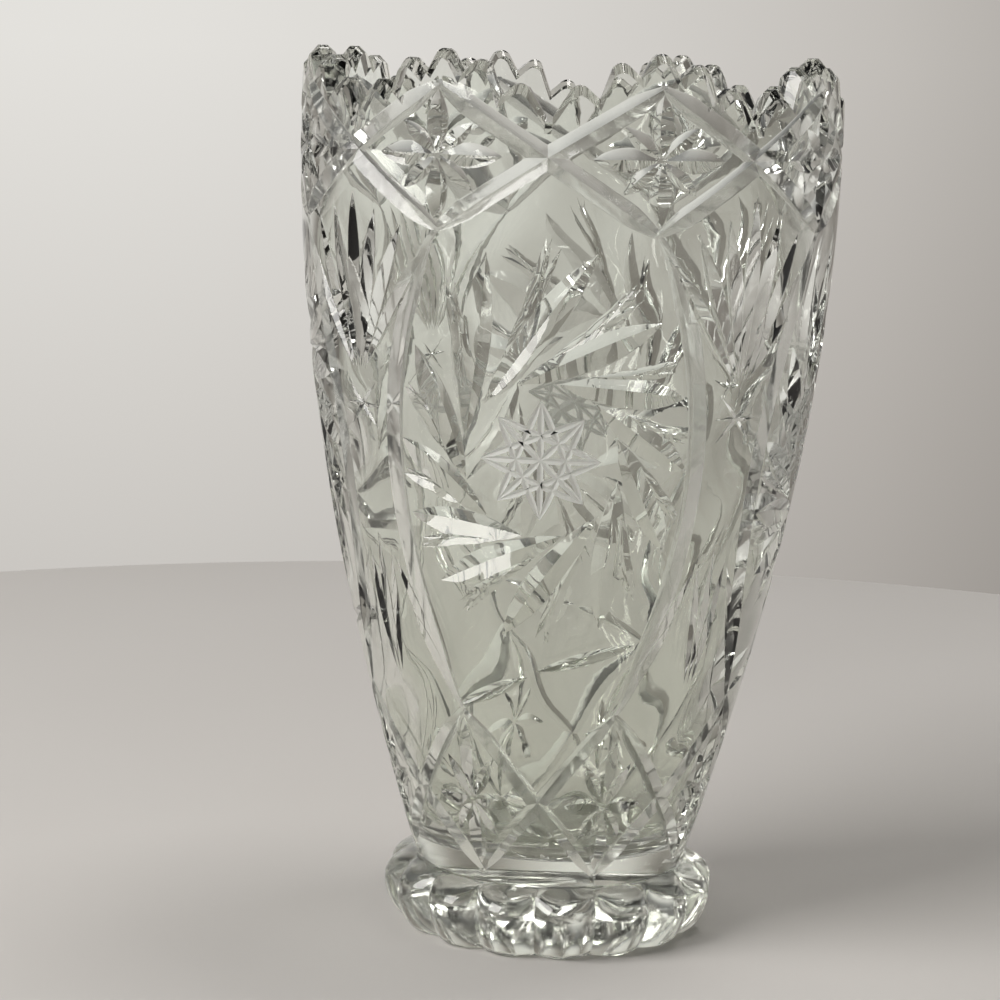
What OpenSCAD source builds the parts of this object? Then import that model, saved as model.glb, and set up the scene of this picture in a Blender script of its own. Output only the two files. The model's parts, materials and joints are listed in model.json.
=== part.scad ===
// Cut crystal vase: a tapered, deeply cut bowl on a scalloped foot, standing on the plane z = 0.
// The part is four-fold: a pinwheel medallion alternates with a fan panel all the way round.
// The middle of one pinwheel medallion faces -Y.  All lengths are millimetres.

/* [Overall] */

// Height over the tallest rim teeth
vase_h = 250; // [240:1:270]

// Radius at the fullest part, just below the rim
belly_r = 75.9; // [72:0.1:80]

// Radius where the bowl meets the foot
waist_r = 38.9; // [36:0.1:42]

// Wall thickness of the bowl
wall_t = 7; // [6.5:0.1:9]

// Height of the inner floor above the table
floor_z = 27; // [26:0.5:40]

/* [Rim] */

// Depth of the dips between two rim waves
rim_dip = 18; // [12:0.5:20]

// Depth of the notches between two teeth
tooth_dip = 3.6; // [1.5:0.1:4]

/* [Cutting] */

// Half of the opening angle of the mitre wheel, in degrees
mitre_half = 46; // [40:1:52]

// Depth of the long cuts that cross in the two diamond bands
band_cut = 2.2; // [1.6:0.1:2.4]

// Depth of the bowed ribs beside the medallions
rib_cut = 1.5; // [1:0.1:2]

// Depth of the long leaf cuts at their middle
leaf_cut = 2.2; // [1.5:0.1:2.8]

// Depth of the fine lines of the medallion star
fine_cut = 0.6; // [0.3:0.05:0.8]

/* [Foot] */

// Radius over the scallops of the foot
foot_r = 48.2; // [46:0.1:50]

// Depth of the notches between two scallops
scallop_cut = 3.4; // [2:0.1:4]

/* [Hidden] */

// medallions round the vase, diamonds in each band, scallops on the foot
folds = 4;
diamonds = 2 * folds;
scallops = 4 * folds;
turn = 360 / folds;
half_turn = turn / 2;
quarter = turn / 4;

// heights of the main levels
waist_z = 20;
belly_z = 228;
fullness = 0.93;
band_mid_z = 223;
band_half = 19;
low_mid_z = 45.2;
low_up = 27.3;
low_down = 22;
medallion_z = 144.3;
medallion_r = 16;
fan_z = 164;
scallop_z = 11;
scallop_half = 50;
past = 0.01;
overrun = 1;
reach = 7;
steps_out = 14;
steps_in = 9;

// radius of the outer and the inner face of the bowl at height z
function outer_r(z) = waist_r + (belly_r - waist_r)
    * pow(max(0, sin(90 * (z - waist_z) / (belly_z - waist_z))), fullness);
function inner_r(z) = outer_r(z) - wall_t;

// slope of the outer face, as the tilt of its normal above the horizontal
function tilt(z) = -atan2(outer_r(z + 1) - outer_r(z - 1), 2);

// a point sunk by `deep` under the outer face, at azimuth a (0 faces -Y) and height z
function on_wall(a, z, deep) = let(r = outer_r(z) - deep * cos(tilt(z)))
    [r * sin(a), -r * cos(a), z - deep * sin(tilt(z))];
function outward(a, z) = [cos(tilt(z)) * sin(a), -cos(tilt(z)) * cos(a), sin(tilt(z))];

// one straight mitre cut whose valley runs from point p to point q, opening along n;
// it overruns both ends a little, so cuts that meet leave no sliver between them
module mitre(p, q, n) {
    d = q - p;
    len = norm(d);
    lean = acos(d[2] / len);
    head = atan2(d[1], d[0]);
    along_x = cos(head) * cos(lean) * n[0] + sin(head) * cos(lean) * n[1] - sin(lean) * n[2];
    along_y = -sin(head) * n[0] + cos(head) * n[1];
    side = reach * tan(mitre_half);
    translate(p)
        rotate([0, lean, head])
            rotate([0, 0, atan2(along_y, along_x)])
                translate([0, 0, -overrun])
                    linear_extrude(len + 2 * overrun)
                        polygon([[0, 0], [reach, side], [reach, -side]]);
}

// one mitre cut along the circle through p, m and q, its V opening along n at m;
// `half` is half of the V's angle
module arc_cut(p, m, q, n, half = mitre_half) {
    u = m - p;
    v = q - p;
    w = cross(u, v);
    middle = p + cross((u * u) * v - (v * v) * u, w) / (2 * w * w);
    r = norm(m - middle);
    lean = acos(w[2] / norm(w));
    head = atan2(w[1], w[0]);
    ex = [cos(head) * cos(lean), sin(head) * cos(lean), -sin(lean)];
    ey = [-sin(head), cos(head), 0];
    from = atan2((p - middle) * ey, (p - middle) * ex);
    to = atan2((q - middle) * ey, (q - middle) * ex);
    extra = overrun / r * 180 / PI;
    sweep = (to - from + 720) % 360 + 2 * extra;
    opening = atan2(n * w / norm(w), n * (m - middle) / r);
    side = reach * tan(half);
    translate(middle)
        rotate([0, lean, head])
            rotate([0, 0, from - extra])
                rotate_extrude(angle = sweep)
                    translate([r, 0])
                        rotate(opening)
                            polygon([[0, 0], [reach, side], [reach, -side]]);
}

// a curved line cut of even depth through three places on the wall, each [azimuth, height]
module arc_through(s, m, e, deep) {
    arc_cut(on_wall(s[0], s[1], deep), on_wall(m[0], m[1], deep), on_wall(e[0], e[1], deep),
            outward(m[0], m[1]));
}

// a straight line cut of even depth between two places on the wall
module line_between(s, e, deep) {
    m = (s + e) / 2;
    mitre(on_wall(s[0], s[1], deep), on_wall(e[0], e[1], deep), outward(m[0], m[1]));
}

// a leaf cut: nothing at both ends and `deep` in the middle
module leaf_between(s, e, deep) {
    m = (s + e) / 2;
    n = outward(m[0], m[1]);
    mid = on_wall(m[0], m[1], deep);
    mitre(on_wall(s[0], s[1], past), mid, n);
    mitre(mid, on_wall(e[0], e[1], past), n);
}

// the sides of every diamond in a band: two long cuts cross between each two diamonds
module band_lattice(mid_z, up, down) {
    for (k = [0 : diamonds - 1])
        rotate([0, 0, k * half_turn])
            for (s = [-1, 1])
                arc_through([s * quarter, mid_z - down], [0, mid_z], [-s * quarter, mid_z + up],
                            band_cut);
}

// the star in every diamond: an upright, a level and two slanting leaves
module band_stars(mid_z, up, down) {
    for (k = [0 : diamonds - 1])
        rotate([0, 0, k * half_turn + quarter]) {
            leaf_between([0, mid_z - 0.86 * down], [0, mid_z + 0.86 * up], leaf_cut);
            leaf_between([-0.6 * quarter, mid_z], [0.6 * quarter, mid_z], leaf_cut * 0.8);
            for (s = [-1, 1])
                leaf_between([-0.33 * s * quarter, mid_z - 0.4 * down],
                             [0.33 * s * quarter, mid_z + 0.4 * up], leaf_cut * 0.6);
        }
}

// the bowed ribs on both sides of every medallion, from band to band
module ribs() {
    low = low_mid_z + low_up;
    high = band_mid_z - band_half;
    bow = 13;
    for (k = [0 : folds - 1])
        rotate([0, 0, k * turn])
            for (s = [-1, 1])
                arc_through([s * quarter, low], [s * (quarter + bow), (low + high) / 2],
                            [s * quarter, high], rib_cut);
}

// azimuth and height of a place r from the medallion middle, at the clock angle c
function medallion_at(r, c) = let(z = medallion_z + r * cos(c))
    [r * sin(c) / outer_r(z) * 180 / PI, z];

// the ground star in the middle of every medallion and the leaves whirling away from it
module medallions() {
    points = 8;
    arms = 12;
    root_r = 21;
    root_c = 11;
    tip_r = 42;
    for (k = [0 : folds - 1])
        rotate([0, 0, k * turn]) {
            for (i = [0 : points - 1])
                line_between(medallion_at(medallion_r, 360 * i / points),
                             medallion_at(medallion_r, 360 * i / points + 135), fine_cut);
            for (i = [0 : arms - 1])
                leaf_between(medallion_at(root_r, 360 * i / arms + root_c),
                             medallion_at(tip_r, 360 * i / arms + root_c + 55), leaf_cut);
        }
}

// the fan of long leaves over every fan node, and a shorter one hanging under it
module fans() {
    for (k = [0 : folds - 1])
        rotate([0, 0, k * turn + half_turn]) {
            for (i = [-2 : 2])
                leaf_between([i * 1.4, fan_z + 2], [i * 6.2, 207 - abs(i) * 3.5], leaf_cut);
            for (i = [-1 : 1])
                leaf_between([i * 1.6, fan_z - 10], [i * 6, 112 - abs(i) * 4], leaf_cut * 0.8);
        }
}

// everything above the toothed rim of one wave, as a block reaching through the wall
module rim_sky() {
    half_w = belly_r * tan(quarter);
    pitch = half_w / 2.6;
    crown = pitch * 0.21;
    shoulder = tooth_dip * 0.35;
    wave_drop = 8.3;
    wave_round = 1.73;
    tops = [for (i = [-2 : 2]) [i * pitch, vase_h - wave_drop * pow(abs(i) / 2, wave_round)]];
    teeth = [for (i = [0 : 4], s = [-1 : 2])
        if (s < 2) [tops[i][0] + s * crown, tops[i][1] - abs(s) * shoulder]
        else if (i < 4) [(tops[i][0] + tops[i + 1][0]) / 2,
                         min(tops[i][1], tops[i + 1][1]) - tooth_dip]];
    low = vase_h - rim_dip;
    high = vase_h + reach;
    edge = half_w + 1;
    translate([0, -belly_r - reach, 0])
        rotate([90, 0, 180])
            linear_extrude(2 * reach + wall_t + 2)
                polygon(concat([[-edge, low], [-half_w, low]], teeth,
                               [[half_w, low], [edge, low], [edge, high], [-edge, high]]));
}

// the revolved wall with its solid bottom and rounded inner corner
module blank() {
    outer = [for (i = [0 : steps_out]) let(z = waist_z + (vase_h - waist_z) * i / steps_out)
        [outer_r(z), z]];
    inner = [for (i = [0 : steps_in]) let(z = vase_h - (vase_h - floor_z - 12) * i / steps_in)
        [inner_r(z), z]];
    corner = [for (a = [30 : 30 : 90]) let(r = inner_r(floor_z + 12))
        [r - 12 * (1 - cos(a)), floor_z + 12 - 12 * sin(a)]];
    rotate_extrude()
        polygon(concat([[0, waist_z]], outer, inner, corner, [[0, floor_z]]));
}

// the bowl: blank, toothed rim and all of its cutting
module bowl() {
    color([0.86, 0.9, 0.87, 0.5])
        difference() {
            blank();
            for (k = [0 : diamonds - 1])
                rotate([0, 0, k * half_turn + quarter]) rim_sky();
            band_lattice(band_mid_z, band_half - 1, band_half);
            band_lattice(low_mid_z, low_up, low_down);
            band_stars(band_mid_z, band_half, band_half);
            band_stars(low_mid_z, low_up, low_down);
            ribs();
            medallions();
            fans();
        }
}

// the foot: a rounded flange notched into scallops, with a star ground into its hollow
module foot() {
    rest_r = 36;
    hollow = 1.5;
    ray_r = 31;
    ray_cut = 1.2;
    color([0.84, 0.88, 0.85, 0.5])
        difference() {
            rotate_extrude()
                polygon([[0, hollow], [rest_r - 4, hollow], [rest_r - 2, 0], [rest_r + 3, 0],
                         [foot_r - 5, 2], [foot_r - 2, 5], [foot_r, 10], [foot_r, 14],
                         [foot_r - 2.5, 17], [foot_r - 6, 19], [waist_r, waist_z], [0, waist_z]]);
            for (k = [0 : scallops - 1])
                rotate([0, 0, k * 360 / scallops]) {
                    arc_cut([0, -rest_r - 4.5, 0], [0, scallop_cut - foot_r, scallop_z],
                            [0, -waist_r, waist_z + 1], [0, -1, 0], scallop_half);
                    mitre([0, -2, hollow], [0, -ray_r / 2, hollow + ray_cut], [0, 0, -1]);
                    mitre([0, -ray_r / 2, hollow + ray_cut], [0, -ray_r, hollow], [0, 0, -1]);
                }
        }
}

bowl();
foot();
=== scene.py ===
# %% [markdown]
# # A cut crystal vase
# The vase is one heavy piece of lead crystal: a tapered bowl with a toothed rim on a scalloped foot.
# A glass cutter holds the plain blank against spinning stone wheels, and every line, leaf and star
# is a groove that the wheel's edge leaves behind. This notebook works in the same order: turn the
# blank, lay out the pattern, grind each groove with a cutter of the wheel's shape, polish, and
# light the result. All lengths here are millimetres until a mesh is made.

# %% Load the frame
import json
import math
import bmesh
import bpy
from mathutils import Matrix, Vector

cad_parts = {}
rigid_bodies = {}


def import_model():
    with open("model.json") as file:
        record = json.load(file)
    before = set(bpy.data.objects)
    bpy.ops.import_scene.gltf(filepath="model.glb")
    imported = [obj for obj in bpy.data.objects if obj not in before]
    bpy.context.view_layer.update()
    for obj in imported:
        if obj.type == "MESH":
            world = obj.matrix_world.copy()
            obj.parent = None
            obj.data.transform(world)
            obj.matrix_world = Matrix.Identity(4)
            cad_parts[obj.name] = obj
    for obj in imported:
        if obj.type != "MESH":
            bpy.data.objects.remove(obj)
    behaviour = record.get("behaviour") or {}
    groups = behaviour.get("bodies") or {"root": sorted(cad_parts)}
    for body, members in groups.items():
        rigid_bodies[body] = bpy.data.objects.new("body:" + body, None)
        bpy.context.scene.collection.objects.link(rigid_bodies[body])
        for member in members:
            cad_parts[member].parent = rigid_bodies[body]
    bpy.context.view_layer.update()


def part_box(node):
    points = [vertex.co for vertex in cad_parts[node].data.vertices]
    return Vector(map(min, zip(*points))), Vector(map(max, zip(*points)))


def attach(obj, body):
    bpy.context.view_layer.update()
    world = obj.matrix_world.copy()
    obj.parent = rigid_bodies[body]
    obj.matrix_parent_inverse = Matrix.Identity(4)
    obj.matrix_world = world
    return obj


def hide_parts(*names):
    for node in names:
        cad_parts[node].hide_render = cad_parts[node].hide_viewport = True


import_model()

MM = 0.001
bowl_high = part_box("bowl")[1]
foot_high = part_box("foot")[1]
INSIDE_BOX = 0.05
VASE_H = bowl_high.z / MM
WAIST_Z = foot_high.z / MM
BELLY_R = min(bowl_high.x, bowl_high.y) / MM - INSIDE_BOX
FOOT_R = min(foot_high.x, foot_high.y) / MM - INSIDE_BOX
print(f"height {VASE_H:.1f}, belly radius {BELLY_R:.1f}, foot radius {FOOT_R:.1f}, waist {WAIST_Z:.1f}")

# %% [markdown]
# ## The shape of the wall
# Seen from the side the bowl is a soft curve: narrow at the waist, fullest just under the rim.
# It could be a spline with handles to drag, but a quarter of a sine wave, raised to a power a
# little under one, follows it closely. A formula is the better choice here, because everything
# that is cut later can ask it where the glass is and which way it faces.

# %% Wall functions
WAIST_R, BELLY_Z, FULLNESS = 38.9, 228, 0.93
WALL_T, FLOOR_Z, CORNER_R = 7.0, 27.0, 12.0


def outer_radius(z):
    share = (z - WAIST_Z) / (BELLY_Z - WAIST_Z)
    return WAIST_R + (BELLY_R - WAIST_R) * max(0.0, math.sin(math.pi / 2 * share)) ** FULLNESS


def wall_lean(z):
    """How far the outward normal tips below the horizontal, in radians."""
    return math.atan2(outer_radius(z + 1) - outer_radius(z - 1), 2)


def outward(azimuth, z):
    a, lean = math.radians(azimuth), wall_lean(z)
    return Vector((math.cos(lean) * math.sin(a), -math.cos(lean) * math.cos(a), -math.sin(lean)))


def on_wall(azimuth, z, lift=0.0):
    """A place on the outer face; azimuth 0 faces -Y and lift is along the outward normal."""
    a, r = math.radians(azimuth), outer_radius(z)
    return Vector((r * math.sin(a), -r * math.cos(a), z)) + outward(azimuth, z) * lift


print(f"wall radius at 60, 120, 180: {[round(outer_radius(z), 1) for z in (60, 120, 180)]}")

# %% [markdown]
# ## Building a mesh from rings
# A turned blank, a cutter and a foot are all the same kind of thing: a row of closed rings of
# points, joined ring to ring with quads. Blender's own lathe and loft tools would each need a
# curve or a modifier, so one short helper makes them all.

# %% Ring mesh helper
def ring_mesh(name, rings, strips=False, material=None):
    """Joins rings to a closed mesh; `strips` closes the ends in quads from one half to the other."""
    count = len(rings[0])
    verts = [p * MM for ring in rings for p in ring]
    faces = [(j * count + i, j * count + (i + 1) % count,
              (j + 1) * count + (i + 1) % count, (j + 1) * count + i)
             for j in range(len(rings) - 1) for i in range(count)]
    if strips:
        cap = [(i, i + 1, count - 2 - i, count - 1 - i) for i in range(count // 2 - 1)]
    else:
        cap = [tuple(range(count))]
    faces += [tuple(reversed(face)) for face in cap]
    faces += [tuple((len(rings) - 1) * count + i for i in face) for face in cap]
    mesh = bpy.data.meshes.new(name)
    mesh.from_pydata(verts, [], faces)
    if material:
        mesh.materials.append(material)
    return bpy.data.objects.new(name, mesh)


def turned(profile, segments, flute=None):
    """Rings of a lathe shape from (radius, height) pairs, from the bottom up."""
    rings = []
    for r, z in profile:
        ring = []
        for i in range(segments):
            azimuth = 360 * i / segments
            a = math.radians(azimuth)
            rr = r if flute is None else flute(r, z, azimuth)
            ring.append(Vector((rr * math.sin(a), -rr * math.cos(a), z)))
        rings.append(ring)
    return rings


print("a ring of eight points:", len(turned([(1, 0)], 8)[0]))

# %% [markdown]
# ## Socket maths
# Materials are written as expressions. The small class below wraps one socket, and adding or
# multiplying two of them puts the Math node in place. Any other node comes from `Nodes.add`.

# %% Node helpers
class Sock:
    def __init__(self, nodes, socket):
        self.nodes, self.socket = nodes, socket

    def _math(self, operation, a, b):
        return self.nodes.add("ShaderNodeMath", {"operation": operation}, {0: a, 1: b})

    def __add__(self, other):
        return self._math("ADD", self, other)

    def __radd__(self, other):
        return self._math("ADD", other, self)

    def __sub__(self, other):
        return self._math("SUBTRACT", self, other)

    def __rsub__(self, other):
        return self._math("SUBTRACT", other, self)

    def __mul__(self, other):
        return self._math("MULTIPLY", self, other)

    def __rmul__(self, other):
        return self._math("MULTIPLY", other, self)


class Nodes:
    def __init__(self, tree):
        self.tree = tree
        tree.nodes.clear()

    def add(self, kind, settings=None, inputs=None, output=0):
        node = self.tree.nodes.new(kind)
        for key, value in (settings or {}).items():
            if key == "stops":
                while len(node.color_ramp.elements) < len(value):
                    node.color_ramp.elements.new(0.5)
                for element, (place, colour) in zip(node.color_ramp.elements, value):
                    element.position, element.color = place, colour
            else:
                setattr(node, key, value)
        for key, value in (inputs or {}).items():
            if isinstance(value, Sock):
                self.tree.links.new(value.socket, node.inputs[key])
            else:
                node.inputs[key].default_value = value
        return Sock(self, node.outputs[output]) if node.outputs else node


# %% [markdown]
# ## The finishes
# Five finishes come off the bench. Polished lead crystal bends light strongly and has a very
# slight waviness where the polishing acid has eaten it. The long mitre cuts keep a satin bloom
# from the wheel, so they read as light bands, and the foot is a little dulled by handling. These
# three are one material with other settings. Glass is never quite clear, and its surface colour
# deepens towards the bottom over the lower 170 mm. At the thick base that stands for the tint of
# thick glass, which a volume could give but is slow to trace. Up the wall, where the glass is no
# thicker, the darkening is painted shade. The fine lines of the medallion star are left as the
# stone cut them, matte and grey. Where the bowl meets the foot the glass simply goes on, so those
# two faces are made invisible.

# %% Polished crystal
CRYSTAL = (0.930, 0.948, 0.915, 1)
GREY_CRYSTAL = (0.905, 0.923, 0.885, 1)
# Below 0.17 m the colour deepens to this towards the bottom: the tint of the thick base, and painted
# shade up the lower wall.
BASE_TINT_AND_SHADE = (0.845, 0.868, 0.800, 1)
INDEX = 1.545
TINT_AND_SHADE_TOP = 0.17
CLOUD_SCALE = 38.0


def crystal(name, rough, grain, bump_strength, clearness=1.0):
    """Clear glass whose colour deepens towards the bottom, as the tint of the thick base and as painted
    shade up the wall; less than full clearness is milky.
    """
    material = bpy.data.materials.new(name)
    material.use_nodes = True
    n = Nodes(material.node_tree)
    place = n.add("ShaderNodeTexCoord", output=3)
    height = n.add("ShaderNodeSeparateXYZ", {}, {0: place}, output=2)
    # Painted shade towards the bottom, which is also the tint of the thick base: 0 from 0.17 m up, 1 at
    # the base.
    depth = n.add("ShaderNodeMapRange", {"clamp": True},
                  {0: height, 1: TINT_AND_SHADE_TOP, 2: 0.0, 3: 0.0, 4: 1.0})
    cloud = n.add("ShaderNodeTexNoise", {}, {"Vector": place, "Scale": CLOUD_SCALE, "Detail": 3.0})
    ripple = n.add("ShaderNodeTexNoise", {}, {"Vector": place, "Scale": grain, "Detail": 2.0})
    clear = n.add("ShaderNodeMix", {"data_type": "RGBA"},
                  {0: cloud, 6: CRYSTAL, 7: GREY_CRYSTAL}, output=2)
    colour = n.add("ShaderNodeMix", {"data_type": "RGBA"},
                   {0: depth, 6: clear, 7: BASE_TINT_AND_SHADE}, output=2)
    bump = n.add("ShaderNodeBump", {}, {"Strength": bump_strength, "Distance": 0.0006,
                                        "Height": cloud * 0.7 + ripple * 0.3})
    shader = n.add("ShaderNodeBsdfPrincipled", {}, {
        "Base Color": colour, "Roughness": rough * (0.6 + 0.8 * ripple), "IOR": INDEX,
        "Transmission Weight": clearness, "Normal": bump})
    n.add("ShaderNodeOutputMaterial", {}, {"Surface": shader})
    return material


polished = crystal("polished_crystal", 0.018, 140.0, 0.05)
satin = crystal("satin_cut_crystal", 0.12, 420.0, 0.12, 0.90)
handled = crystal("handled_foot_crystal", 0.10, 260.0, 0.08)
print("materials", polished.name, satin.name, handled.name)

# %% Matte ground lines
def matte_ground():
    material = bpy.data.materials.new("matte_ground_line")
    material.use_nodes = True
    n = Nodes(material.node_tree)
    place = n.add("ShaderNodeTexCoord", output=3)
    grain = n.add("ShaderNodeTexNoise", {}, {"Vector": place, "Scale": 1600.0, "Detail": 2.0})
    colour = n.add("ShaderNodeMix", {"data_type": "RGBA"},
                   {0: grain, 6: (0.80, 0.81, 0.79, 1), 7: (0.92, 0.93, 0.91, 1)}, output=2)
    bump = n.add("ShaderNodeBump", {}, {"Strength": 0.25, "Distance": 0.0003, "Height": grain})
    shader = n.add("ShaderNodeBsdfPrincipled", {}, {
        "Base Color": colour, "Roughness": 0.55 + 0.2 * grain, "IOR": INDEX,
        "Transmission Weight": 0.6, "Normal": bump})
    n.add("ShaderNodeOutputMaterial", {}, {"Surface": shader})
    return material


matte = matte_ground()
print("material", matte.name)

# %% The join that can't be seen
def unbroken_glass():
    material = bpy.data.materials.new("unbroken_glass")
    material.use_nodes = True
    n = Nodes(material.node_tree)
    place = n.add("ShaderNodeTexCoord", output=3)
    cloud = n.add("ShaderNodeTexNoise", {}, {"Vector": place, "Scale": CLOUD_SCALE})
    colour = n.add("ShaderNodeMix", {"data_type": "RGBA"},
                   {0: cloud, 6: CRYSTAL, 7: GREY_CRYSTAL}, output=2)
    shader = n.add("ShaderNodeBsdfPrincipled", {}, {"Base Color": colour, "Alpha": 0.0})
    n.add("ShaderNodeOutputMaterial", {}, {"Surface": shader})
    return material


unbroken = unbroken_glass()
print("material", unbroken.name)

# %% [markdown]
# ## The wheel
# A mitre wheel has a V edge. Pressed into the glass it leaves a V groove, and because the wheel is
# round the groove is deepest in the middle and runs out to a point at both ends: the leaf that all
# cut glass is made of. A cutter here is that groove turned inside out, a row of triangles with
# their lower corner on the valley, which is later subtracted. Its depth follows a parabola for a
# leaf and stays even for a long line. Sculpting or displacing the wall would round off the sharp
# edges that make cut glass sparkle, so real grooves are ground out of it.
#
# Polishing in acid also softens the two edges of a groove. The cutter has a narrow shoulder there,
# which leaves the thin bright outline round every cut.

# %% Cutter helpers
# A cutter stands PROUD of the wall, and a leaf's tips end SKIM above it. A shoulder has its full
# width in a cut of SHOULDER_FULL or deeper.
PROUD = 1.3
SKIM = 0.12
SHOULDER_DEEP, SHOULDER_WIDE, SHOULDER_FULL = 0.16, 0.5, 0.9
LEAF_STEP = 2.4
wheel_rack = bpy.data.collections.new("wheel_rack")
bpy.context.scene.collection.children.link(wheel_rack)


def beside(azimuth, z, side, offset, lift):
    """A place `offset` to one side of (azimuth, z), measured along the wall."""
    a, lean = math.radians(azimuth), wall_lean(z)
    level = Vector((math.cos(a), math.sin(a), 0))
    upward = level.cross(outward(azimuth, z))
    if upward.z < 0:
        upward.negate()
    turn = math.degrees(offset * side.dot(level) / outer_radius(z))
    return on_wall(azimuth + turn, z + offset * side.dot(upward) * math.cos(lean), lift)


def groove(stations, half_angle, material):
    """One cutter through (azimuth, height, depth) stations."""
    flare = math.tan(math.radians(half_angle))
    rings = []
    for k, (azimuth, z, depth) in enumerate(stations):
        before = stations[max(k - 1, 0)]
        after = stations[min(k + 1, len(stations) - 1)]
        along = (on_wall(after[0], after[1]) - on_wall(before[0], before[1])).normalized()
        side = outward(azimuth, z).cross(along).normalized()
        inner = max(0.03, depth - SHOULDER_DEEP)
        inner_wide = inner * flare
        outer_wide = inner_wide + SHOULDER_WIDE * min(1.0, max(0.1, depth / SHOULDER_FULL))
        outer = max(0.06, inner - depth + 0.03)
        top_wide = outer_wide + (PROUD - outer) * flare
        section = ((-top_wide, PROUD), (-outer_wide, outer), (-inner_wide, inner - depth),
                   (0, -depth), (inner_wide, inner - depth), (outer_wide, outer), (top_wide, PROUD))
        rings.append([beside(azimuth, z, side, offset, lift) for offset, lift in section])
    wheel_rack.objects.link(ring_mesh("wheel", rings, material=material))


def leaf(start, end, depth, half_angle, peak=0.5, material=polished):
    """A leaf from start to end, both (azimuth, height), deepest at the fraction `peak`."""
    length = (on_wall(*end) - on_wall(*start)).length
    count = max(6, int(length / LEAF_STEP))
    stations = []
    for k in range(count + 1):
        t = k / count
        swell = t / peak if t < peak else (1 - t) / (1 - peak)
        d = (depth + SKIM) * (1 - (1 - swell) ** 2) - SKIM
        stations.append((start[0] + (end[0] - start[0]) * t, start[1] + (end[1] - start[1]) * t, d))
    groove(stations, half_angle, material)


def line(path, depth, half_angle, steps, material):
    """An even groove along path(t) -> (azimuth, height), t from 0 to 1, tapering off at its ends."""
    stations = []
    for k in range(steps + 1):
        t = k / steps
        ease = min(1.0, 6 * t + 0.25, 6 * (1 - t) + 0.25)
        stations.append((*path(t), depth * ease))
    groove(stations, half_angle, material)


# %% [markdown]
# ## The two bands of diamonds
# Eight wide mitre cuts rise and eight fall round the vase, in a band under the rim and again above
# the foot. They cross between the diamonds and meet in the tips, so each diamond is only what is
# left standing. Sixteen grooves do the work of eight outlined diamonds, as on the real wheel, and
# their valleys are sure to meet. Every diamond then gets a star of eight single leaves.

# %% Band layout
FOLDS = 4
DIAMONDS = 2 * FOLDS
PITCH = 360 / DIAMONDS
HALF = PITCH / 2
UPPER = {"mid": 223.0, "up": 18.0, "down": 19.0, "depth": 2.1, "wheel": 53}
LOWER = {"mid": 45.2, "up": 27.3, "down": 21.5, "depth": 1.7, "wheel": 52}
OVERRUN = 1.03
PETAL_ROOT = 0.04
UP_REACH, SIDE_REACH = 0.95, 0.62
SLANT_REACH = (0.35, 0.48)


def band_height(band, s):
    """Height of a crossing cut at s: -1 in the lower tip, 0 at the crossing, 1 in the upper tip."""
    return band["mid"] + (band["up"] * s if s > 0 else band["down"] * s)


def cut_band(band):
    for k in range(DIAMONDS):
        for way in (-1, 1):
            def path(t, way=way, k=k):
                s = (2 * t - 1) * OVERRUN
                return k * PITCH + way * s * HALF, band_height(band, s)
            line(path, band["depth"], band["wheel"], 22, satin)


def cut_band_stars(band, depth):
    for k in range(DIAMONDS):
        centre = (k + 0.5) * PITCH
        mid, up, down = band["mid"], band["up"], band["down"]
        petals = [(0, UP_REACH * up, 1.0), (0, -UP_REACH * down, 1.0),
                  (SIDE_REACH * HALF, 0, 1.0), (-SIDE_REACH * HALF, 0, 1.0)]
        petals += [(sx * SLANT_REACH[0] * HALF, sz * SLANT_REACH[1] * (up if sz > 0 else down), 0.7)
                   for sx in (-1, 1) for sz in (-1, 1)]
        for da, dz, share in petals:
            leaf((centre + PETAL_ROOT * da, mid + PETAL_ROOT * dz), (centre + da, mid + dz),
                 depth * share, 54, peak=0.46)


cut_band(UPPER)
cut_band(LOWER)
cut_band_stars(UPPER, 2.3)
cut_band_stars(LOWER, 1.9)

# %% [markdown]
# ## The bowed ribs
# From every tip of the upper band a single clean cut bows outward round a medallion and comes back
# to the tip below it. Two of them frame each medallion like a pair of brackets. The bow is a
# raised half sine, which stays full in the middle and still comes in steeply to both tips.

# %% Ribs
MEDALLION_Z = 144.3
BOW = 13.0
RIB_DEPTH, RIB_WHEEL, RIB_STEPS = 2.0, 54, 44
RIB_LOW = LOWER["mid"] + LOWER["up"]
RIB_HIGH = UPPER["mid"] - UPPER["down"]


def rib_path(t, side, centre):
    swing = HALF + BOW * max(0.0, math.sin(math.pi * t)) ** 0.8
    return centre + side * swing, RIB_LOW + (RIB_HIGH - RIB_LOW) * t


for fold in range(FOLDS):
    for side in (-1, 1):
        line(lambda t, side=side, fold=fold: rib_path(t, side, fold * 90),
             RIB_DEPTH, RIB_WHEEL, RIB_STEPS, satin)

# %% [markdown]
# ## The whirling medallions
# The middle is an eight-pointed star of fine lines, left matte. Round it twelve arms whirl
# clockwise. An arm is one broad leaf that leaves the circle along its tangent, and three narrow
# leaves that branch off it into the gap beside the next arm. All run out just before the oval
# that the ribs leave free. Copying one arm round a circle would miss that oval, so each leaf is
# measured to it on its own.

# %% Medallion layout
STAR_R = 16.0
ROOT_R = 21.0
ARMS = 12
FIRST_ROOT = 11
OVAL_HALF_W, OVAL_HALF_H, OVAL_UP = 41.0, 56.0, 4.0
ARM_TURN, ARM_DEPTH, ARM_WHEEL = 85, 2.6, 59
BRANCHES = ((0.22, 75, 0.94), (0.36, 66, 0.98), (0.50, 56, 0.96))
BRANCH_DEPTH, BRANCH_WHEEL = 1.2, 53
LOW_LEAVES = ((-1, (24.0, 73.5), (2.0, 84.0)), (1, (-1.0, 85.2), (26.5, 93.5)))


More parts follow.
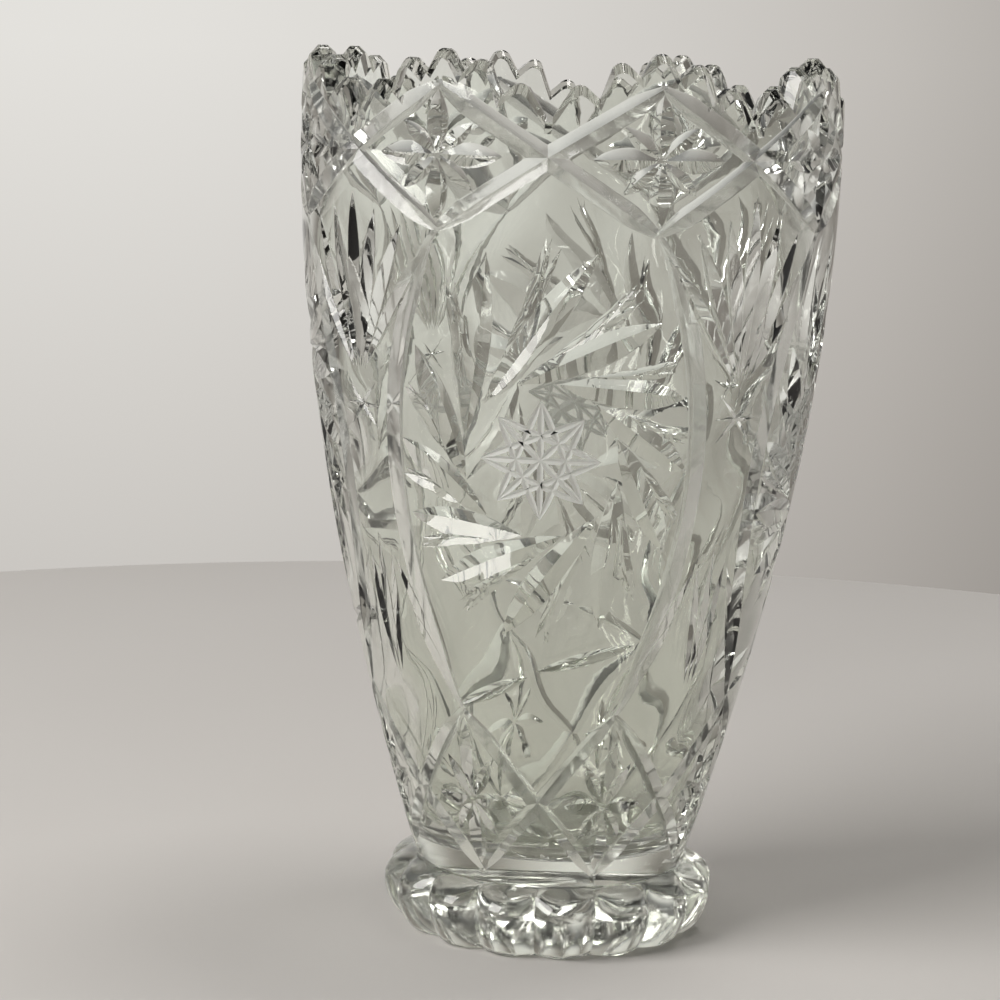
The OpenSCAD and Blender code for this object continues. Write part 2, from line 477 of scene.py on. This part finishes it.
def medallion_place(centre, x, y):
    """A place x to the right and y above the middle of a medallion, seen from outside."""
    z = MEDALLION_Z + y
    return centre + math.degrees(x / outer_radius(z)), z


def clock_place(radius, clock):
    """The x and y of a place at a clock angle in degrees, 0 up and growing clockwise."""
    return radius * math.sin(math.radians(clock)), radius * math.cos(math.radians(clock))


def to_oval(x, y, clock):
    """Distance from (x, y) to the oval in a clock direction."""
    dx, dy = clock_place(1, clock)
    y -= OVAL_UP
    a = (dx / OVAL_HALF_W) ** 2 + (dy / OVAL_HALF_H) ** 2
    b = 2 * (x * dx / OVAL_HALF_W ** 2 + y * dy / OVAL_HALF_H ** 2)
    c = (x / OVAL_HALF_W) ** 2 + (y / OVAL_HALF_H) ** 2 - 1
    return (-b + math.sqrt(b * b - 4 * a * c)) / (2 * a)


def ray(centre, x, y, clock, share, depth, wheel, peak):
    """A leaf from (x, y) that runs over a share of the way to the oval."""
    dx, dy = clock_place(to_oval(x, y, clock) * share, clock)
    leaf(medallion_place(centre, x, y), medallion_place(centre, x + dx, y + dy), depth, wheel, peak)


print(f"twelve o'clock on the oval is {to_oval(0, 0, 0):.1f} above the star's middle")

# %% Cut the medallions
def star_line(centre, c1, c2):
    (x1, y1), (x2, y2) = clock_place(STAR_R, c1), clock_place(STAR_R, c2)

    def path(t):
        return medallion_place(centre, x1 + (x2 - x1) * t, y1 + (y2 - y1) * t)
    line(path, 0.6, 55, 12, matte)


def cut_medallion(centre):
    for i in range(8):
        star_line(centre, 45 * i, 45 * i + 135)
    for i in range(4):
        star_line(centre, 45 * i, 45 * i + 180)
    for i in range(ARMS):
        root = 360 / ARMS * i + FIRST_ROOT
        x, y = clock_place(ROOT_R, root)
        ray(centre, x, y, root + ARM_TURN, 0.98, ARM_DEPTH, ARM_WHEEL, 0.55)
        dx, dy = clock_place(to_oval(x, y, root + ARM_TURN), root + ARM_TURN)
        edge_x, edge_y = clock_place(2.4, root - 5)
        for along, turn, share in BRANCHES:
            ray(centre, x + dx * along + edge_x, y + dy * along + edge_y, root + turn, share,
                BRANCH_DEPTH, BRANCH_WHEEL, 0.45)
    for side, low, high in LOW_LEAVES:
        leaf((centre + side * low[0], low[1]), (centre + side * high[0], high[1]), 1.5, 52)


for fold in range(FOLDS):
    cut_medallion(fold * 90)

# %% [markdown]
# ## The fans
# Between two medallions seven long leaves spring from one point and open like a fan up to the
# band, with thin leaves between them. Under that point sit three short crossed lines. Lower down,
# leaves rise from the middle and lean in from both tips of the lower band. Straight leaves on a
# curved wall bow a little by themselves, so plain start and end places are enough.

# %% Fans
FAN_Z = 164.0
LOW_FAN_Z = 79.0
FAN_SPREAD = 6.9
CROSSED = ((5.5, 7.0), (-5.5, 7.0), (6.5, 0.0))
LEANING = ((7.5, 127.0), (4.8, 115.0), (9.0, 100.0))


def cut_fan(centre):
    for i in range(-3, 4):
        top = 213.0 - 4.3 * abs(i)
        leaf((centre + 0.55 * i, FAN_Z + 0.5), (centre + FAN_SPREAD * i, top),
             2.2 - 0.12 * abs(i), 50, 0.58)
    for i in (-3, -2, -1, 1, 2, 3):
        side = 1 if i > 0 else -1
        leaf((centre + (i - 0.5 * side) * 1.6, FAN_Z + 10),
             (centre + (i - 0.5 * side) * FAN_SPREAD, 203.0 - 3.5 * abs(i)), 0.5, 50, 0.5)
    for da, dz in CROSSED:
        leaf((centre - da, FAN_Z - 9 - dz), (centre + da, FAN_Z - 9 + dz), 0.6, 52)
    for i in (-1, 0, 1):
        leaf((centre + 1.2 * i, LOW_FAN_Z), (centre + 4.6 * i, 121.0 - 5.0 * abs(i)), 0.9, 62)
    for side in (-1, 1):
        for off, top in LEANING:
            leaf((centre + side * (HALF - 0.6), 74.5), (centre + side * off, top), 1.1, 57)


for fold in range(FOLDS):
    cut_fan(fold * 90 + 45)

# %% [markdown]
# ## The rim
# The rim rises and falls in eight waves, one over each diamond, and every wave carries five
# rounded teeth. The cutter is everything above that outline. It is lofted through the wall in five
# slices, and the outer and inner ones sit lower, which leaves the bevel that a real rim is given
# so that it doesn't chip. A bevel modifier would have to work on edges that are still uncut.

# %% Rim cutters
RIM_DIP = 18.0
TOOTH_DIP = 3.65
WAVE_DROP, WAVE_ROUND = 8.3, 1.73
TEETH_ACROSS, TOOTH_ROUND = 2.73, 24.0
BEVELS = ((3.0, 6.0), (0.0, 2.9), (-2.7, 0.0), (-5.2, 0.0), (-7.0, 1.5), (-12.0, 5.7))


def tooth_outline(half_width):
    """The wave of five teeth as (sideways, height), from one dip to the next."""
    pitch = half_width / TEETH_ACROSS
    tops = [(i * pitch, VASE_H - WAVE_DROP * (abs(i) / 2) ** WAVE_ROUND) for i in range(-2, 3)]
    low = VASE_H - RIM_DIP
    outline = [(-half_width - 1.0, low), (-half_width, low)]
    for i, (u, z) in enumerate(tops):
        for s in (-0.21, -0.14, -0.07, 0.0, 0.07, 0.14, 0.21):
            outline.append((u + s * pitch, z - TOOTH_ROUND * s * s))
        if i < 4:
            outline.append(((u + tops[i + 1][0]) / 2, min(z, tops[i + 1][1]) - TOOTH_DIP))
    return outline + [(half_width, low), (half_width + 1.0, low)]


def cut_wave(centre):
    outline = tooth_outline(math.radians(HALF) * BELLY_R)
    rings = []
    for lift, drop in BEVELS:
        around = [math.radians(centre) + u / BELLY_R for u, z in outline]
        edge = [Vector(((BELLY_R + lift) * math.sin(a), -(BELLY_R + lift) * math.cos(a), z - drop))
                for a, (u, z) in zip(around, outline)]
        sky = [Vector((p.x, p.y, VASE_H + 8)) for p in reversed(edge)]
        rings.append(edge + sky)
    wheel_rack.objects.link(ring_mesh("rim_wheel", rings, strips=True, material=polished))


for k in range(DIAMONDS):
    cut_wave((k + 0.5) * PITCH)

# %% [markdown]
# ## The blank and the grinding
# The blank is turned on 160 segments with a row every three millimetres, because glass shows
# every flat. Its inside keeps the faint waves of blown glass, which bend what is seen through it.
# All cutters are then taken away in one boolean with the manifold solver, which handles hundreds
# of clean closed shapes in seconds and carries their finish over to the faces that they leave.

# %% Turn the blank
SEGMENTS = 160
OUTER_ROWS, INNER_ROWS = 76, 64
BLOWN_WAVE = 0.26


def blank_profile():
    top = VASE_H - 0.02
    outer = [(outer_radius(z), z) for z in
             (WAIST_Z + (top - WAIST_Z) * k / OUTER_ROWS for k in range(OUTER_ROWS + 1))]
    straight_low = FLOOR_Z + CORNER_R
    inner = [(outer_radius(z) - WALL_T, z) for z in
             (top - (top - straight_low) * k / INNER_ROWS for k in range(INNER_ROWS + 1))]
    base_r = inner[-1][0] - CORNER_R
    corner = [(base_r + CORNER_R * math.cos(a), straight_low - CORNER_R * math.sin(a))
              for a in (math.radians(15 * k) for k in range(1, 7))]
    floor = [(base_r * s, FLOOR_Z) for s in (0.66, 0.33, 0.04)]
    return outer + inner + corner + floor


def blown(r, z, azimuth):
    """Leaves the outside true and gives the inside the slight waves of glass that was blown."""
    if z < FLOOR_Z + CORNER_R or r > outer_radius(z) - 0.5 * WALL_T:
        return r
    a = math.radians(azimuth)
    wave = math.sin(8 * a + z / 11) + 0.7 * math.sin(13 * a - z / 7 + 1) + 0.6 * math.sin(4 * a + z / 5)
    return r + BLOWN_WAVE * wave * min(1.0, (VASE_H - z) / 20)


blank = ring_mesh("crystal_bowl", turned(blank_profile(), SEGMENTS, blown), material=polished)
bpy.context.scene.collection.objects.link(blank)
print("blank:", len(blank.data.vertices), "points")

# %% Grind and clean up
def shell_volume(ob):
    bm = bmesh.new()
    bm.from_mesh(ob.data)
    volume = bm.calc_volume(signed=True)
    bm.free()
    return volume


def face_outward(ob):
    if shell_volume(ob) < 0:
        ob.data.flip_normals()


def grind(ob, rack):
    face_outward(ob)
    for cutter in rack.objects:
        face_outward(cutter)
    wheel = ob.modifiers.new("grind", "BOOLEAN")
    wheel.operation, wheel.operand_type, wheel.collection = "DIFFERENCE", "COLLECTION", rack
    wheel.solver, wheel.material_mode = "MANIFOLD", "TRANSFER"
    graph = bpy.context.evaluated_depsgraph_get()
    mesh = bpy.data.meshes.new_from_object(ob.evaluated_get(graph), depsgraph=graph)
    ob.modifiers.clear()
    ob.data = mesh
    for cutter in list(rack.objects):
        bpy.data.objects.remove(cutter, do_unlink=True)


def finish_edges(ob, angle):
    bm = bmesh.new()
    bm.from_mesh(ob.data)
    bmesh.ops.remove_doubles(bm, verts=bm.verts, dist=0.00002)
    bmesh.ops.dissolve_degenerate(bm, edges=bm.edges, dist=0.00001)
    loose = [v for v in bm.verts if not v.link_faces]
    bmesh.ops.delete(bm, geom=loose, context="VERTS")
    bm.to_mesh(ob.data)
    bm.free()
    ob.data.polygons.foreach_set("use_smooth", [True] * len(ob.data.polygons))
    ob.data.set_sharp_from_angle(angle=math.radians(angle))
    ob.data.update()


grind(blank, wheel_rack)
finish_edges(blank, 22)
print("bowl after grinding:", len(blank.data.polygons), "faces",
      [m.name for m in blank.data.materials])

# %% Let the light through the waist
def mark_join(ob, z, material):
    """Gives the level faces at the waist the unbroken finish."""
    if material.name not in ob.data.materials:
        ob.data.materials.append(material)
    slot = ob.data.materials.find(material.name)
    count = 0
    for face in ob.data.polygons:
        if abs(face.center.z - z * MM) < 0.00002 and abs(face.normal.z) > 0.999:
            face.material_index = slot
            count += 1
    return count


bowl = blank
print("join faces on the bowl:", mark_join(bowl, WAIST_Z, unbroken))

# %% [markdown]
# ## The foot
# The foot flares from the waist, turns over in a round edge and draws in again to the ring that it
# stands on. Its edge has sixteen round lobes. They could be ground like the leaves, but a lathe
# shape whose radius dips between the lobes gives them smooth sides without a boolean. A shallow
# hollow underneath carries a star of sixteen rays, the usual finish of a cut base.

# %% Turn and grind the foot
REST_R, HOLLOW = 36.0, 1.5
SCALLOPS = 16
SCALLOP_CUT = 3.6
RAY_FROM, RAY_TO, RAY_DEPTH, RAY_WHEEL, RAY_STEPS = 3, 31, 1.0, 55, 10


def foot_profile():
    under = [(0.5, HOLLOW), (12, HOLLOW), (24, HOLLOW), (REST_R - 4, HOLLOW), (REST_R - 2, 0.01),
             (REST_R + 3, 0.01)]
    edge = [(FOOT_R + r, z) for r, z in
            ((-5.6, 0.25), (-4.3, 1.2), (-3.1, 2.6), (-1.9, 4.4), (-0.95, 6.6), (-0.3, 9.0),
             (-0.05, 11.4), (-0.25, 13.4), (-1.0, 15.2), (-2.3, 16.7), (-4.0, 17.9), (-5.9, 18.7),
             (-7.6, 19.2), (-8.7, 19.6))]
    top = [(WAIST_R * s, WAIST_Z) for s in (1, 0.66, 0.33, 0.04)]
    return under + edge + top


def scallop(r, z, azimuth):
    """Draws the edge in between sixteen round lobes, more the further it stands out."""
    off = abs(azimuth * SCALLOPS / 360 % 1 - 0.5) * 2
    share = min(1.0, max(0.0, (r - REST_R - 3) / 2.5)) * min(1.0, max(0.0, (WAIST_Z - z) / 4.0))
    return r - SCALLOP_CUT * share * off ** 2


def cut_base_ray(p, q):
    """A V groove up into the level base from p to q, deepest half way."""
    down = Vector((0, 0, -1))
    flare = math.tan(math.radians(RAY_WHEEL))
    side = down.cross((q - p).normalized()).normalized()
    rings = []
    for k in range(RAY_STEPS + 1):
        t = k / RAY_STEPS
        d = -0.1 + RAY_DEPTH * 4 * t * (1 - t)
        mid = p.lerp(q, t)
        wide = (d + PROUD) * flare
        rings.append([mid - down * d, mid + down * PROUD - side * wide,
                      mid + down * PROUD + side * wide])
    wheel_rack.objects.link(ring_mesh("wheel", rings, material=polished))


foot = ring_mesh("crystal_foot", turned(foot_profile(), 20 * SCALLOPS, scallop), material=handled)
bpy.context.scene.collection.objects.link(foot)
for k in range(SCALLOPS):
    turn = Matrix.Rotation(math.radians(360 * k / SCALLOPS), 3, "Z")
    cut_base_ray(turn @ Vector((0, -RAY_FROM, HOLLOW)), turn @ Vector((0, -RAY_TO, HOLLOW)))
grind(foot, wheel_rack)
finish_edges(foot, 24)
print("foot after grinding:", len(foot.data.polygons), "faces")
print("join faces on the foot:", mark_join(foot, WAIST_Z, unbroken))
bpy.data.collections.remove(wheel_rack)

# %% [markdown]
# ## Taking the places of the plain solids
# The bowl and the foot each ride on the body and stand in for their plain solid. They are kept as
# two objects, because each can then be given another glass in its own slot.

# %% Take the places
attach(bowl, "root")
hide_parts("bowl")
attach(foot, "root")
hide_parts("foot")
print("in place:", bowl.name, foot.name)

# %% [markdown]
# ## The stage
# Clear glass has no colour of its own: it shows what surrounds it. A pale table stands in a pale
# room whose walls go softly from light to shade five times round. The room is dark high up and
# below the table's edge, and those dark parts give steep facets their black accents. An evenly
# lit room would leave the cuts without contrast. A large soft light hangs at the upper left.

# %% Table
def table_material():
    material = bpy.data.materials.new("pale_table")
    material.use_nodes = True
    n = Nodes(material.node_tree)
    place = n.add("ShaderNodeTexCoord", output=3)
    cloud = n.add("ShaderNodeTexNoise", {}, {"Vector": place, "Scale": 3.0, "Detail": 3.0})
    colour = n.add("ShaderNodeMix", {"data_type": "RGBA"},
                   {0: cloud, 6: (0.58, 0.555, 0.53, 1), 7: (0.64, 0.62, 0.60, 1)}, output=2)
    shader = n.add("ShaderNodeBsdfPrincipled", {}, {
        "Base Color": colour, "Roughness": 0.6 + 0.1 * cloud})
    n.add("ShaderNodeOutputMaterial", {}, {"Surface": shader})
    return material


TABLE_R = 560.0
table_top = ring_mesh("table_top", turned([(4, 0), (TABLE_R, 0), (TABLE_R, -20), (4, -20)], 128),
                      material=table_material())
bpy.context.scene.collection.objects.link(table_top)
face_outward(table_top)
print("table radius", TABLE_R)

# %% Room
WAVES_ROUND, WAVE_TURN = 5.0, 0.17


def pale_room():
    world = bpy.data.worlds.new("pale_room")
    bpy.context.scene.world = world
    world.use_nodes = True
    n = Nodes(world.node_tree)
    direction = n.add("ShaderNodeTexCoord", output=0)
    east = n.add("ShaderNodeSeparateXYZ", {}, {0: direction}, output=0)
    north = n.add("ShaderNodeSeparateXYZ", {}, {0: direction}, output=1)
    height = n.add("ShaderNodeSeparateXYZ", {}, {0: direction}, output=2)
    upright = n.add("ShaderNodeValToRGB", {"stops": (
        (0.0, (0.20, 0.19, 0.18, 1)), (0.35, (0.44, 0.42, 0.40, 1)), (0.43, (0.58, 0.56, 0.535, 1)),
        (0.50, (0.70, 0.685, 0.66, 1)), (0.63, (0.72, 0.71, 0.69, 1)), (0.71, (0.20, 0.20, 0.20, 1)),
        (1.0, (0.07, 0.07, 0.07, 1)))}, {0: height * 0.5 + 0.5})
    heading = n.add("ShaderNodeMath", {"operation": "ARCTAN2"}, {0: east, 1: north})
    wave = n.add("ShaderNodeMath", {"operation": "SINE"}, {0: heading * WAVES_ROUND - WAVE_TURN})
    walls = n.add("ShaderNodeValToRGB", {"stops": (
        (0.0, (0.30, 0.28, 0.26, 1)), (0.5, (0.76, 0.74, 0.72, 1)), (1.0, (1.10, 1.10, 1.09, 1)))},
        {0: 0.5 - 0.5 * wave})
    both = n.add("ShaderNodeMix", {"data_type": "RGBA", "blend_type": "MULTIPLY"},
                 {0: 1.0, 6: upright, 7: walls}, output=2)
    background = n.add("ShaderNodeBackground", {}, {"Color": both, "Strength": 1.0})
    n.add("ShaderNodeOutputWorld", {}, {"Surface": background})


pale_room()
print("room", bpy.context.scene.world.name)

# %% Lights
LAMPS_AIM_AT = Vector((0, 0, 0.12))


def soft_light(name, place, size, power, colour):
    data = bpy.data.lights.new(name, "AREA")
    data.shape, data.size, data.size_y = "RECTANGLE", size[0], size[1]
    data.energy, data.color = power, colour
    ob = bpy.data.objects.new(name, data)
    ob.location = place
    aim = LAMPS_AIM_AT - ob.location
    ob.rotation_mode = "QUATERNION"
    ob.rotation_quaternion = aim.to_track_quat("-Z", "Y")
    bpy.context.scene.collection.objects.link(ob)


soft_light("window", (-1.5, -1.1, 1.35), (1.4, 1.3), 50, (1.0, 0.985, 0.96))
soft_light("ceiling", (0.4, 0.3, 2.0), (0.7, 0.7), 12, (1.0, 0.98, 0.95))

# %% [markdown]
# ## The camera
# A long lens about three quarters of a metre away, level with the rim and tipped down nine
# degrees, a hair off level, as a hand holds it. A tracking constraint would always point it at the
# vase, so the turn is written out instead. Light has to pass many walls of glass, which is why
# the ray limits are raised here too.

# %% Camera
DISTANCE, EYE_Z = 776.0, 248.9
SENSOR, LENS = 36.0, 98.63
AROUND, PAN, TIP, ROLL = 4.54, -1.27, 9.25, 1.62
camera_data = bpy.data.cameras.new("camera")
camera_data.sensor_width, camera_data.lens = SENSOR, LENS
camera_data.clip_start, camera_data.clip_end = 0.01, 50
camera = bpy.data.objects.new("camera", camera_data)
bpy.context.scene.collection.objects.link(camera)
heading, tip, roll = (math.radians(v) for v in (PAN - AROUND, TIP, ROLL))
forward = Vector((math.sin(heading) * math.cos(tip), math.cos(heading) * math.cos(tip), -math.sin(tip)))
right = Vector((math.cos(heading), -math.sin(heading), 0))
above = right.cross(forward)
right, above = (right * math.cos(roll) + above * math.sin(roll),
                above * math.cos(roll) - right * math.sin(roll))
around = math.radians(AROUND)
camera.matrix_world = Matrix.Translation(
    Vector((DISTANCE * math.sin(around), -DISTANCE * math.cos(around), EYE_Z)) * MM
) @ Matrix((right, above, -forward)).transposed().to_4x4()
bpy.context.scene.camera = camera
print("camera at", [round(v, 3) for v in camera.matrix_world.translation])

# %% How glass is traced
bpy.context.scene.view_settings.view_transform = "Standard"
bpy.context.scene.cycles.max_bounces = 24
bpy.context.scene.cycles.transmission_bounces = 20
bpy.context.scene.cycles.glossy_bounces = 6
bpy.context.scene.cycles.transparent_max_bounces = 16
print("rays may pass", bpy.context.scene.cycles.transmission_bounces, "faces of glass")
